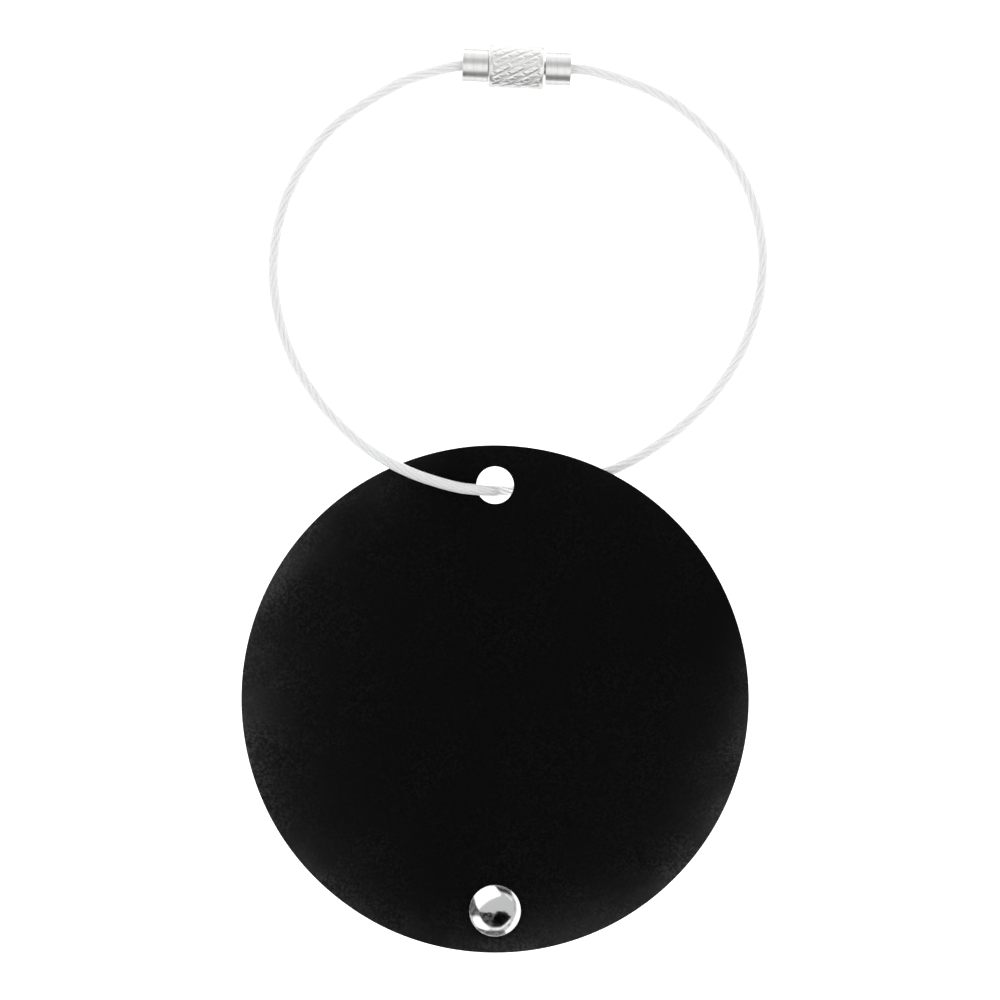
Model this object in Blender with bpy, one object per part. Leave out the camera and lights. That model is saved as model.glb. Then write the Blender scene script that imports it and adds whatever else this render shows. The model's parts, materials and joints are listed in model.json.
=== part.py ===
"""Round leather luggage tag on a wire-rope loop with a screw closure.

Two leather discs turn on a double-cap rivet, with an address card between them. The loop
lies over the front cover, goes down through the punched holes and comes out behind. Its ends
meet in a closure: a knurled barrel, captive on the right ferrule, screws onto a stud that is
turned in one piece with the left ferrule.

Metres, +Z up. The tag lies on its back, front cover up, with its top towards +Y. The origin
is under the middle of the discs, on the surface that the tag rests on.
"""

import math

import bmesh
import bpy
from mathutils import Matrix, Vector

# Leather discs and card
DISC_RADIUS = 0.0350
LEATHER = 0.0010  # thickness of one disc
CARD_RADIUS = 0.0330
CARD_THICKNESS = 0.00025
CARD_NOTCH_WIDTH = 0.0066  # open notch for the cable
LAYER_GAP = 0.00005
CABLE_HOLE_RADIUS = 0.00258
CABLE_HOLE_Y = 0.0295
RIVET_Y = -0.02915
RIVET_HOLE_RADIUS = 0.00165

# Height of each layer above the surface
CAP_HEIGHT = 0.00215  # how far each rivet cap stands off the leather
BACK_Z = CAP_HEIGHT + LAYER_GAP
CARD_Z = BACK_Z + LEATHER + LAYER_GAP
COVER_Z = CARD_Z + CARD_THICKNESS + LAYER_GAP
COVER_TOP_Z = COVER_Z + LEATHER
STACK_MIDDLE_Z = (BACK_Z + COVER_TOP_Z) / 2

# Double-cap rivet
CAP_RADIUS = 0.00360
CAP_WALL = 0.00025
CAP_LIP = 0.00040  # width of the rim that is rolled under the flange
CAP_RIM_HEIGHT = 0.00063  # straight rolled rim, below the dome
CAP_RIM_CHAMFER = 0.00015
CAP_FLAT_RADIUS = 0.00110
DOME_STEPS = 7
FLANGE_RADIUS = 0.00310
FLANGE_THICKNESS = 0.00030
SOCKET_RADIUS = 0.00150
SOCKET_BORE = 0.00105
POST_RADIUS = 0.00095
PEEN_RADIUS = 0.00130  # the post's end, spread over the socket when the rivet is set
PEEN_TIP_RADIUS = 0.00090
PEEN_HEIGHT = 0.00035
RIVET_GAP = 0.00005

# Cable: wire rope with its coating bonded on
CABLE_DIAMETER = 0.0015
ROUTE_STEP = 0.0036
EYE_STEP = 0.0012  # closer points where the cable bends through the holes
EYE_REACH = 0.0085  # the closer points run this far either side of the hole
SPLIT_REACH = 0.0038  # the eye is its own piece this far either side of the hole
SPLIT_ABOVE = 0.0030  # and no further than this above it, where the closure's side also is
CURVE_STEPS = 24  # points of the smooth curve between two of the route's own
JOIN_GAP = 0.0001

# Screw closure, along its own axis from the stud side to the socket side
CLOSURE_CENTRE = Vector((0.0032, 0.0872, 0.00296))  # middle of the barrel
CLOSURE_TILT = math.radians(-2.5)
BARREL_RADIUS = 0.00295
BARREL_LENGTH = 0.0074
BARREL_CHAMFER = 0.0004
FERRULE_RADIUS = 0.00228
FERRULE_LENGTH = 0.0036
FERRULE_CHAMFER = 0.00012
FERRULE_BORE = 0.00083
BORE_DEPTH = 0.0024
MOUTH_RADIUS = 0.0012  # the bore flares at its mouth, where the cable starts to bend
FLARE_DEPTH = 0.0010
STUD_GAP = 0.0004  # bare stud between the ferrule and the barrel
STUD_RADIUS = 0.00145
STUD_CHAMFER = 0.0003
STUD_ENGAGED = 0.0040
STUD_BORE_RADIUS = 0.0016
HEAD_POCKET_RADIUS = 0.0018
HEAD_RADIUS = 0.0015  # the swivel pin's head passes the thread but not the end wall
HEAD_THICKNESS = 0.0010
END_WALL = 0.0011
SHANK_RADIUS = 0.0010
SHANK_HOLE_RADIUS = 0.00108
SHANK_IN_FERRULE = 0.0009
CLOSURE_GAP = 0.00008

ROUND = 48
FINE_ROUND = 96
SHARP_ANGLE = math.radians(35)

# The cable's route, from the stud ferrule over the front of the cover, down through the
# holes, under the back panel and up to the socket ferrule. Height is above the surface.
ROUTE_LEFT = [
    (-0.0045, 0.08745, 0.00296),
    (-0.0068, 0.08702, 0.00295),
    (-0.0101, 0.08613, 0.00293),
    (-0.0133, 0.08494, 0.00291),
    (-0.0221, 0.07918, 0.00299),
    (-0.0266, 0.07360, 0.00312),
    (-0.0295, 0.06703, 0.00332),
    (-0.0306, 0.05996, 0.00360),
    (-0.0299, 0.05293, 0.00395),
    (-0.0276, 0.04640, 0.00432),
    (-0.0240, 0.04073, 0.00470),
    (-0.0195, 0.03605, 0.00510),
    (-0.0156, 0.03325, 0.00542),
    (-0.0117, 0.03125, 0.00566),
    (-0.0080, 0.02995, 0.00587),
]
ROUTE_EYE = [
    (-0.0049, 0.02915, 0.00261),
    (-0.0035, 0.02896, 0.00244),
    (-0.0023, 0.02884, 0.00200),
    (-0.0013, 0.02876, 0.00138),
    (-0.0005, 0.02873, 0.00064),
    (0.0005, 0.02873, -0.00064),
    (0.0013, 0.02874, -0.00138),
    (0.0023, 0.02877, -0.00200),
    (0.0035, 0.02883, -0.00243),
    (0.0049, 0.02896, -0.00258),
]  # height above the middle of the stack
ROUTE_RIGHT = [
    (0.0082, 0.02935, 0.00079),
    (0.0120, 0.03015, 0.00079),
    (0.0159, 0.03150, 0.00079),
    (0.0199, 0.03343, 0.00082),
    (0.0249, 0.03687, 0.00089),
    (0.0295, 0.04122, 0.00103),
    (0.0333, 0.04660, 0.00123),
    (0.0359, 0.05296, 0.00149),
    (0.0370, 0.05996, 0.00179),
    (0.0361, 0.06711, 0.00211),
    (0.0332, 0.07374, 0.00241),
    (0.0285, 0.07924, 0.00267),
    (0.0228, 0.08337, 0.00283),
    (0.0130, 0.08672, 0.00294),
    (0.0105, 0.08690, 0.00296),
]


def clear_scene():
    for thing in list(bpy.data.objects):
        bpy.data.objects.remove(thing, do_unlink=True)


def material(name, colour, roughness, metallic=0.0):
    made = bpy.data.materials.new(name)
    made.use_nodes = True
    shader = made.node_tree.nodes["Principled BSDF"]
    shader.inputs["Base Color"].default_value = (*colour, 1.0)
    shader.inputs["Roughness"].default_value = roughness
    shader.inputs["Metallic"].default_value = metallic
    made.diffuse_color = (*colour, 1.0)
    return made


def add_object(name, mesh, finish, parent=None, place=None):
    """A named object, placed in the world and kept there under its parent."""
    thing = bpy.data.objects.new(name, mesh)
    bpy.context.scene.collection.objects.link(thing)
    thing.data.materials.append(finish)
    thing.parent = parent
    local = place or Matrix.Identity(4)
    thing.matrix_basis = parent.matrix_basis.inverted() @ local if parent else local
    return thing


def add_pivot(name, place):
    pivot = bpy.data.objects.new(name, None)
    pivot.empty_display_size = 0.005
    pivot.matrix_basis = place
    bpy.context.scene.collection.objects.link(pivot)
    return pivot


def turned(name, profile, segments=ROUND):
    """A solid turned about Z. The profile is (radius, height) points: from axis to axis for
    a solid without a bore, or a closed loop that stays off the axis for one with a bore."""
    mesh = bpy.data.meshes.new(name)
    work = bmesh.new()
    rings = []
    for radius, height in profile:
        if radius == 0.0:
            rings.append([work.verts.new((0.0, 0.0, height))])
            continue
        ring = []
        for step in range(segments):
            angle = 2 * math.pi * step / segments
            ring.append(work.verts.new((radius * math.cos(angle), radius * math.sin(angle), height)))
        rings.append(ring)
    closed = len(rings[0]) > 1
    pairs = list(zip(rings, rings[1:] + rings[:1])) if closed else list(zip(rings, rings[1:]))
    for low, high in pairs:
        for step in range(segments):
            after = (step + 1) % segments
            if len(low) == 1:
                work.faces.new((low[0], high[step], high[after]))
            elif len(high) == 1:
                work.faces.new((low[step], low[after], high[0]))
            else:
                work.faces.new((low[step], low[after], high[after], high[step]))
    bmesh.ops.recalc_face_normals(work, faces=work.faces)
    work.to_mesh(mesh)
    work.free()
    mesh.shade_smooth()
    mesh.set_sharp_from_angle(angle=SHARP_ANGLE)
    return mesh


def arc(x, y, radius, start=0, end=360, steps=ROUND):
    """Points on an arc about (x, y), from one angle to another in degrees, both included."""
    angles = [math.radians(start + (end - start) * step / steps) for step in range(steps + 1)]
    return [(x + radius * math.cos(angle), y + radius * math.sin(angle)) for angle in angles]


def circle(x, y, radius, steps=ROUND):
    return arc(x, y, radius, steps=steps)[:-1]


def flat_piece(name, outlines, low, thickness, finish, pivot=None):
    """A sheet with its underside at height low: the first outline, less the others."""
    curve = bpy.data.curves.new(name, "CURVE")
    curve.dimensions = "2D"
    curve.fill_mode = "BOTH"
    curve.extrude = thickness / 2
    for outline in outlines:
        spline = curve.splines.new("POLY")
        spline.points.add(len(outline) - 1)
        for target, (x, y) in zip(spline.points, outline):
            target.co = (x, y, 0.0, 1.0)
        spline.use_cyclic_u = True
    place = Matrix.Translation((0.0, 0.0, low + thickness / 2))
    return add_object(name, curve, finish, pivot, place)


def leather_disc(name, low, finish, pivot=None):
    outlines = [
        circle(0.0, 0.0, DISC_RADIUS, FINE_ROUND),
        circle(0.0, CABLE_HOLE_Y, CABLE_HOLE_RADIUS),
        circle(0.0, RIVET_Y, RIVET_HOLE_RADIUS),
    ]
    flat_piece(name, outlines, low, LEATHER, finish, pivot)


def address_card(finish):
    """Round card with a rivet hole, and a notch with a round end that the cable passes."""
    half = CARD_NOTCH_WIDTH / 2
    side = math.degrees(math.acos(half / CARD_RADIUS))
    outline = arc(0.0, 0.0, CARD_RADIUS, 180 - side, 360 + side, FINE_ROUND)
    outline += arc(0.0, CABLE_HOLE_Y, half, 360, 180, ROUND // 2)
    outlines = [outline, circle(0.0, RIVET_Y, RIVET_HOLE_RADIUS)]
    flat_piece("address_card", outlines, CARD_Z, CARD_THICKNESS, finish)


def dome(radius, base, top):
    """(radius, height) points on a round dome, from its rim to the flat on its top."""
    centre = (radius ** 2 + base ** 2 - CAP_FLAT_RADIUS ** 2 - top ** 2) / (2 * (base - top))
    sphere = math.hypot(radius, base - centre)
    rim, flat = math.asin(radius / sphere), math.asin(CAP_FLAT_RADIUS / sphere)
    angles = [rim + (flat - rim) * step / DOME_STEPS for step in range(DOME_STEPS + 1)]
    return [(sphere * math.sin(angle), centre + sphere * math.cos(angle)) for angle in angles]


def cap_profile():
    """Thin domed shell, open below, with its rim rolled in under the flange. Height 0 is the
    face that touches the leather."""
    inner_radius = CAP_RADIUS - CAP_WALL
    lip_radius = inner_radius - CAP_LIP
    return (
        [(0.0, CAP_HEIGHT - CAP_WALL)]
        + dome(inner_radius, CAP_RIM_HEIGHT, CAP_HEIGHT - CAP_WALL)[::-1]
        + [
            (inner_radius, CAP_WALL),
            (lip_radius, CAP_WALL),
            (lip_radius, 0.0),
            (CAP_RADIUS - CAP_RIM_CHAMFER, 0.0),
            (CAP_RADIUS, CAP_RIM_CHAMFER),
        ]
        + dome(CAP_RADIUS, CAP_RIM_HEIGHT, CAP_HEIGHT)
        + [(0.0, CAP_HEIGHT)]
    )


def rivet(chrome, steel):
    """Cap and flanged socket on the front, cap and flanged post on the back. The socket and
    the post stand on the rims that the caps are rolled into."""
    front = Matrix.Translation((0.0, RIVET_Y, COVER_TOP_Z + LAYER_GAP))
    back = Matrix.Translation((0.0, RIVET_Y, CAP_HEIGHT)) @ Matrix.Rotation(math.pi, 4, "X")
    add_object("rivet_cap", turned("rivet_cap", cap_profile()), chrome, None, front)
    add_object("rivet_back_cap", turned("rivet_back_cap", cap_profile()), chrome, None, back)

    flange_low = CAP_WALL + RIVET_GAP
    flange_high = flange_low + FLANGE_THICKNESS
    stack = COVER_TOP_Z + LAYER_GAP - CAP_HEIGHT  # from one cap's face to the other's
    socket_foot = -stack + 2 * RIVET_GAP
    socket = turned("rivet_socket", [
        (SOCKET_BORE, socket_foot),
        (SOCKET_RADIUS, socket_foot),
        (SOCKET_RADIUS, flange_low),
        (FLANGE_RADIUS, flange_low),
        (FLANGE_RADIUS, flange_high),
        (SOCKET_BORE, flange_high),
    ])
    add_object("rivet_socket", socket, steel, None, front)

    peen_low = -stack - flange_high - RIVET_GAP
    post = turned("rivet_post", [
        (0.0, flange_high),
        (FLANGE_RADIUS, flange_high),
        (FLANGE_RADIUS, flange_low),
        (SOCKET_RADIUS, flange_low),
        (SOCKET_RADIUS, RIVET_GAP),
        (POST_RADIUS, 0.0),
        (POST_RADIUS, peen_low),
        (PEEN_RADIUS, peen_low),
        (PEEN_TIP_RADIUS, peen_low - PEEN_HEIGHT),
        (0.0, peen_low - PEEN_HEIGHT),
    ])
    add_object("rivet_post", post, steel, None, back)


def closure_place(along=0.0):
    """A point on the closure's axis, with local Z along the axis towards the socket side."""
    turn = Matrix.Rotation(CLOSURE_TILT, 4, "Z") @ Matrix.Rotation(math.radians(90), 4, "Y")
    return Matrix.Translation(CLOSURE_CENTRE) @ turn @ Matrix.Translation((0.0, 0.0, along))


def stud_ferrule(finish, pivot):
    """Left ferrule, bored for the cable, turned in one piece with the threaded stud."""
    face = -BARREL_LENGTH / 2 - STUD_GAP
    mouth = face - FERRULE_LENGTH
    tip = -BARREL_LENGTH / 2 + STUD_ENGAGED
    mesh = turned("stud_ferrule", [
        (0.0, mouth + BORE_DEPTH),
        (FERRULE_BORE, mouth + BORE_DEPTH),
        (FERRULE_BORE, mouth + FLARE_DEPTH),
        (MOUTH_RADIUS, mouth),
        (FERRULE_RADIUS - FERRULE_CHAMFER, mouth),
        (FERRULE_RADIUS, mouth + FERRULE_CHAMFER),
        (FERRULE_RADIUS, face - FERRULE_CHAMFER),
        (FERRULE_RADIUS - FERRULE_CHAMFER, face),
        (STUD_RADIUS, face),
        (STUD_RADIUS, tip - STUD_CHAMFER),
        (STUD_RADIUS - STUD_CHAMFER, tip),
        (0.0, tip),
    ])
    return add_object("stud_ferrule", mesh, finish, pivot, closure_place())


def knurled_barrel(finish, pivot):
    """Threaded bore from the stud side, then a pocket for the swivel pin's head, then the
    end wall that the pin's shank turns in."""
    left, right = -BARREL_LENGTH / 2, BARREL_LENGTH / 2
    pocket_end = right - END_WALL
    pocket_start = pocket_end - HEAD_THICKNESS - 2 * CLOSURE_GAP
    outer = BARREL_RADIUS
    mesh = turned("knurled_barrel", [
        (STUD_BORE_RADIUS, left),
        (outer - BARREL_CHAMFER, left),
        (outer, left + BARREL_CHAMFER),
        (outer, right - BARREL_CHAMFER),
        (outer - BARREL_CHAMFER, right),
        (SHANK_HOLE_RADIUS, right),
        (SHANK_HOLE_RADIUS, pocket_end),
        (HEAD_POCKET_RADIUS, pocket_end),
        (HEAD_POCKET_RADIUS, pocket_start),
        (STUD_BORE_RADIUS, pocket_start),
    ])
    return add_object("knurled_barrel", mesh, finish, pivot, closure_place())


def swivel_pin(finish):
    right = BARREL_LENGTH / 2
    head_high = right - END_WALL - CLOSURE_GAP
    head_low = head_high - HEAD_THICKNESS
    shank_end = right + CLOSURE_GAP + SHANK_IN_FERRULE
    mesh = turned("swivel_pin", [
        (0.0, head_low),
        (HEAD_RADIUS, head_low),
        (HEAD_RADIUS, head_high),
        (SHANK_RADIUS, head_high),
        (SHANK_RADIUS, shank_end),
        (0.0, shank_end),
    ])
    return add_object("swivel_pin", mesh, finish, None, closure_place())


def socket_ferrule(finish):
    """Right ferrule: a bore for the swivel pin's shank on one side, for the cable on the other."""
    face = BARREL_LENGTH / 2 + CLOSURE_GAP
    mouth = face + FERRULE_LENGTH - CLOSURE_GAP
    pin_floor = face + SHANK_IN_FERRULE + CLOSURE_GAP
    mesh = turned("socket_ferrule", [
        (0.0, pin_floor),
        (SHANK_RADIUS + RIVET_GAP, pin_floor),
        (SHANK_RADIUS + RIVET_GAP, face),
        (FERRULE_RADIUS - FERRULE_CHAMFER, face),
        (FERRULE_RADIUS, face + FERRULE_CHAMFER),
        (FERRULE_RADIUS, mouth - FERRULE_CHAMFER),
        (FERRULE_RADIUS - FERRULE_CHAMFER, mouth),
        (MOUTH_RADIUS, mouth),
        (FERRULE_BORE, mouth - FLARE_DEPTH),
        (FERRULE_BORE, mouth - BORE_DEPTH),
        (0.0, mouth - BORE_DEPTH),
    ])
    return add_object("socket_ferrule", mesh, finish, None, closure_place())


def closure_point(along):
    return closure_place(along).translation


def whole_route():
    """The route's own points, with a short straight stretch inside each ferrule's bore."""
    left_mouth = -BARREL_LENGTH / 2 - STUD_GAP - FERRULE_LENGTH
    right_mouth = BARREL_LENGTH / 2 + FERRULE_LENGTH
    deep, shallow = BORE_DEPTH - CLOSURE_GAP, FLARE_DEPTH + CLOSURE_GAP
    eye = [Vector((x, y, STACK_MIDDLE_Z + rise)) for x, y, rise in ROUTE_EYE]
    return (
        [closure_point(left_mouth + deep), closure_point(left_mouth + shallow)]
        + [Vector(point) for point in ROUTE_LEFT]
        + eye
        + [Vector(point) for point in ROUTE_RIGHT]
        + [closure_point(right_mouth - shallow), closure_point(right_mouth - deep)]
    )


def smooth_line(points):
    """A centripetal Catmull-Rom curve through the points, as a dense polyline."""
    ends = [2 * points[0] - points[1]] + points + [2 * points[-1] - points[-2]]
    line = []
    for p0, p1, p2, p3 in zip(ends, ends[1:], ends[2:], ends[3:]):
        k0 = 0.0
        k1 = k0 + math.sqrt((p1 - p0).length)
        k2 = k1 + math.sqrt((p2 - p1).length)
        k3 = k2 + math.sqrt((p3 - p2).length)
        for step in range(CURVE_STEPS):
            k = k1 + (k2 - k1) * step / CURVE_STEPS
            a1 = p0.lerp(p1, (k - k0) / (k1 - k0))
            a2 = p1.lerp(p2, (k - k1) / (k2 - k1))
            a3 = p2.lerp(p3, (k - k2) / (k3 - k2))
            b1 = a1.lerp(a2, (k - k0) / (k2 - k0))
            b2 = a2.lerp(a3, (k - k1) / (k3 - k1))
            line.append(b1.lerp(b2, (k - k1) / (k2 - k1)))
    return line + [points[-1]]


def spaced(line):
    """Points along the line, closer together near the holes."""
    hole = Vector((0.0, CABLE_HOLE_Y))
    kept, since = [line[0]], 0.0
    for before, here in zip(line, line[1:]):
        since += (here - before).length
        near = (here.xy - hole).length < EYE_REACH
        if since >= (EYE_STEP if near else ROUTE_STEP):
            kept.append(here)
            since = 0.0
    if since > EYE_STEP / 2:
        kept.append(line[-1])
    else:
        kept[-1] = line[-1]
    return kept


def shortened(points, trim_start, trim_end):
    """The same stretch with a little taken off its ends, so that neighbours don't touch."""
    first, last = points[0], points[-1]
    points = list(points)
    points[0] = first + (points[1] - first).normalized() * trim_start
    points[-1] = last + (points[-2] - last).normalized() * trim_end
    return points


def cable_stretch(name, points, finish, pivot=None):
    curve = bpy.data.curves.new(name, "CURVE")
    curve.dimensions = "3D"
    curve.bevel_depth = CABLE_DIAMETER / 2
    curve.bevel_resolution = 2
    curve.use_fill_caps = True
    spline = curve.splines.new("POLY")
    spline.points.add(len(points) - 1)
    for target, point in zip(spline.points, points):
        target.co = (*point, 1.0)
    stretch = add_object(name, curve, finish)
    if pivot:
        stretch.parent = pivot
        stretch.matrix_parent_inverse = pivot.matrix_basis.inverted()
    return stretch


def cable(finish, free_end_pivot):
    line = spaced(smooth_line(whole_route()))
    near = [n for n, point in enumerate(line)
            if abs(point.x) < SPLIT_REACH and point.y < CABLE_HOLE_Y + SPLIT_ABOVE]
    start, end = near[0], near[-1]
    front = shortened(line[: start + 1], 0.0, JOIN_GAP)
    back = shortened(line[end:], JOIN_GAP, 0.0)
    cable_stretch("cable_front_half", front, finish, free_end_pivot)
    cable_stretch("cable_eye", line[start: end + 1], finish)
    cable_stretch("cable_back_half", back, finish)


def main():
    clear_scene()
    leather = material("black_leather", (0.010, 0.010, 0.011), 0.55)
    paper = material("card", (0.82, 0.80, 0.74), 0.8)
    chrome = material("polished_chrome", (0.85, 0.86, 0.88), 0.06, 1.0)
    steel = material("rivet_steel", (0.60, 0.60, 0.60), 0.30, 1.0)
    turned_steel = material("turned_steel", (0.80, 0.80, 0.79), 0.22, 1.0)
    knurled_steel = material("knurled_steel", (0.78, 0.78, 0.77), 0.28, 1.0)
    coated_rope = material("coated_wire_rope", (0.80, 0.80, 0.79), 0.25, 0.6)

    rivet_pivot = add_pivot("cover_pivot", Matrix.Translation((0.0, RIVET_Y, COVER_Z)))
    hole_pivot = add_pivot("free_end_pivot", Matrix.Translation((0.0, CABLE_HOLE_Y, STACK_MIDDLE_Z)))
    barrel_pivot = add_pivot("barrel_pivot", closure_place())

    leather_disc("back_panel", BACK_Z, leather)
    address_card(paper)
    leather_disc("front_cover", COVER_Z, leather, rivet_pivot)
    rivet(chrome, steel)
    stud_ferrule(turned_steel, hole_pivot)
    knurled_barrel(knurled_steel, barrel_pivot)
    swivel_pin(steel)
    socket_ferrule(turned_steel)
    cable(coated_rope, hole_pivot)


main()
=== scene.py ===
"""The looks of the round leather luggage tag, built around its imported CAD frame.

Everything is in metres, in the CAD's own frame: the tag lies on its back with +Z up and its
top towards +Y. The leather, the rivet caps, the closure and the cable are detailed meshes
that stand for plain CAD solids; the card, the rivet's inner parts and the swivel pin are the
CAD's own solids with finished materials.
"""

import json
import math

import bmesh
import bpy
from mathutils import Matrix, Vector, noise
from mathutils.geometry import delaunay_2d_cdt


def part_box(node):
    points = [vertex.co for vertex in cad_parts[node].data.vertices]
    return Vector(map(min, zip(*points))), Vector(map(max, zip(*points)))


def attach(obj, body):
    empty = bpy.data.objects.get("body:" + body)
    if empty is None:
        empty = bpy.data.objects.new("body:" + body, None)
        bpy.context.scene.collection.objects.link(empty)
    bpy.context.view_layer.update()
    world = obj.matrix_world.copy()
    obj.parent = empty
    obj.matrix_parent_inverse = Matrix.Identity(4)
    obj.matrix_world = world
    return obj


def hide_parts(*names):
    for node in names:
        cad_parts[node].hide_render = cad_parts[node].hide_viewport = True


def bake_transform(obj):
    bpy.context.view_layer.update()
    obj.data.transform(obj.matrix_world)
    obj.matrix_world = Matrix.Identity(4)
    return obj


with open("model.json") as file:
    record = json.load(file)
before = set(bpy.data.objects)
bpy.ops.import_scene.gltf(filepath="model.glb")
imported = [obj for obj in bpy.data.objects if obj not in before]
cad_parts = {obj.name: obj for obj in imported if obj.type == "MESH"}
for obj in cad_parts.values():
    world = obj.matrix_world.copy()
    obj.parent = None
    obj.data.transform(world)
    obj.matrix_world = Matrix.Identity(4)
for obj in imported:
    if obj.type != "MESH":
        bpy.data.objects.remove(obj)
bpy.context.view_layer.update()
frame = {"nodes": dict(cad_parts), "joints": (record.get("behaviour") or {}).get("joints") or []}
scene = bpy.context.scene
joints = {joint["name"]: joint for joint in frame["joints"]}

MM = 0.001

# Places, from the frame
COVER_LOW, COVER_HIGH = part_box("front_cover")
BACK_LOW, BACK_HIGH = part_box("back_panel")
CARD_LOW, CARD_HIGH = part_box("address_card")
FRONT_CAP_LOW, FRONT_CAP_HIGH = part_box("rivet_cap")
BACK_CAP_LOW, BACK_CAP_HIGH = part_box("rivet_back_cap")
DISC_RADIUS = (COVER_HIGH.x - COVER_LOW.x) / 2
RIVET = Vector(joints["cover_swivel"]["pos_m"])
HOLE = Vector(joints["loop_swing"]["pos_m"])
CLOSURE = Vector(joints["barrel_turn"]["pos_m"])
CLOSURE_AXIS = Vector(joints["barrel_turn"]["axis"]).normalized()

# Sizes that the frame's boxes don't give
CABLE_HOLE_RADIUS = 2.58 * MM
RIVET_HOLE_RADIUS = 1.65 * MM
CABLE_DIAMETER = 1.5 * MM
BARREL_LENGTH = 7.4 * MM
BARREL_RADIUS = 2.95 * MM
FERRULE_LENGTH = 3.6 * MM
FERRULE_RADIUS = 2.28 * MM
STUD_GAP = 0.4 * MM
LEFT_FACE = -BARREL_LENGTH / 2 - STUD_GAP  # the stud ferrule's inner face, on the closure's axis

# The cable's route, as in the CAD: from the stud ferrule over the front of the cover, down
# through the holes, under the back panel and up to the socket ferrule
ROUTE_LEFT = [
    (-0.0045, 0.08745, 0.00296),
    (-0.0068, 0.08702, 0.00295),
    (-0.0101, 0.08613, 0.00293),
    (-0.0133, 0.08494, 0.00291),
    (-0.0221, 0.07918, 0.00299),
    (-0.0266, 0.07360, 0.00312),
    (-0.0295, 0.06703, 0.00332),
    (-0.0306, 0.05996, 0.00360),
    (-0.0299, 0.05293, 0.00395),
    (-0.0276, 0.04640, 0.00432),
    (-0.0240, 0.04073, 0.00470),
    (-0.0195, 0.03605, 0.00510),
    (-0.0156, 0.03325, 0.00542),
    (-0.0117, 0.03125, 0.00566),
    (-0.0080, 0.02995, 0.00587),
]
ROUTE_EYE = [
    (-0.0049, 0.02915, 0.00261),
    (-0.0035, 0.02896, 0.00244),
    (-0.0023, 0.02884, 0.00200),
    (-0.0013, 0.02876, 0.00138),
    (-0.0005, 0.02873, 0.00064),
    (0.0005, 0.02873, -0.00064),
    (0.0013, 0.02874, -0.00138),
    (0.0023, 0.02877, -0.00200),
    (0.0035, 0.02883, -0.00243),
    (0.0049, 0.02896, -0.00258),
]  # height above the middle of the stack of leather
ROUTE_RIGHT = [
    (0.0082, 0.02935, 0.00079),
    (0.0120, 0.03015, 0.00079),
    (0.0159, 0.03150, 0.00079),
    (0.0199, 0.03343, 0.00082),
    (0.0249, 0.03687, 0.00089),
    (0.0295, 0.04122, 0.00103),
    (0.0333, 0.04660, 0.00123),
    (0.0359, 0.05296, 0.00149),
    (0.0370, 0.05996, 0.00179),
    (0.0361, 0.06711, 0.00211),
    (0.0332, 0.07374, 0.00241),
    (0.0285, 0.07924, 0.00267),
    (0.0228, 0.08337, 0.00283),
    (0.0130, 0.08672, 0.00294),
    (0.0105, 0.08690, 0.00296),
]
BORE_END, BORE_START = 2.32 * MM, 1.08 * MM  # the cable's straight stretch inside each ferrule

# Rope inside the coating
STRANDS = 6
STRAND_RADIUS = 0.205 * MM
STRAND_MEAN, WIRE_RIDGE = 0.93, 0.04  # parts of that radius: the strand's mean, and its ridges
ROPE_LAY = 12.0 * MM  # one turn of the strands
WIRE_LAY = 3.4 * MM  # one turn of the wires in a strand, the other way
WIRES = 6


# Camera ------------------------------------------------------------------------------------

CAMERA_HEIGHT = 1.2
AIM = Vector((0.68 * MM, 27.45 * MM))
FIELD = 137.87 * MM  # what the picture spans at the height of the cover's top


def make_camera():
    data = bpy.data.cameras.new("camera")
    data.sensor_width = 36.0
    data.lens = data.sensor_width * (CAMERA_HEIGHT - COVER_HIGH.z) / FIELD
    data.clip_start, data.clip_end = 0.05, 10.0
    camera = bpy.data.objects.new("camera", data)
    camera.location = (AIM.x, AIM.y, CAMERA_HEIGHT)
    scene.collection.objects.link(camera)
    scene.camera = camera


# Node helpers ------------------------------------------------------------------------------


def node(tree, kind, sockets=None, **settings):
    """A new node. A socket's value is a number, a colour or vector, or another node's output."""
    made = tree.nodes.new(kind)
    for name, value in settings.items():
        setattr(made, name, value)
    for name, value in (sockets or {}).items():
        if isinstance(value, bpy.types.NodeSocket):
            tree.links.new(value, made.inputs[name])
        else:
            made.inputs[name].default_value = value
    return made


def finish(name, colour, roughness, metallic=0.0, **sockets):
    """A material with one Principled shader; returns the material, its tree and the shader."""
    made = bpy.data.materials.new(name)
    made.use_nodes = True
    shader = made.node_tree.nodes["Principled BSDF"]
    shader.inputs["Base Color"].default_value = (*colour, 1.0)
    shader.inputs["Roughness"].default_value = roughness
    shader.inputs["Metallic"].default_value = metallic
    for socket, value in sockets.items():
        shader.inputs[socket.replace("_", " ")].default_value = value
    return made, made.node_tree, shader


def place_of(tree):
    """Object coordinates: metres in the CAD's frame, moving with the piece."""
    return node(tree, "ShaderNodeTexCoord").outputs["Object"]


def stretched(tree, vector, scale):
    """The vector with each axis scaled, so that a texture on it is stretched."""
    made = node(tree, "ShaderNodeVectorMath", {0: vector, 1: scale}, operation="MULTIPLY")
    return made.outputs[0]


def noise_of(tree, vector, size, detail=3.0, roughness=0.5):
    """Noise from 0 to 1 whose features are about size metres across."""
    sockets = {"Vector": vector, "Scale": 1 / size, "Detail": detail, "Roughness": roughness}
    return node(tree, "ShaderNodeTexNoise", sockets).outputs["Fac"]


def ramp(tree, value, low, high, to_low=0.0, to_high=1.0):
    """Maps low..high smoothly onto to_low..to_high, held at both ends."""
    made = node(tree, "ShaderNodeMapRange", {
        "Value": value, "From Min": low, "From Max": high, "To Min": to_low, "To Max": to_high,
    }, interpolation_type="SMOOTHSTEP")
    return made.outputs["Result"]


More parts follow.
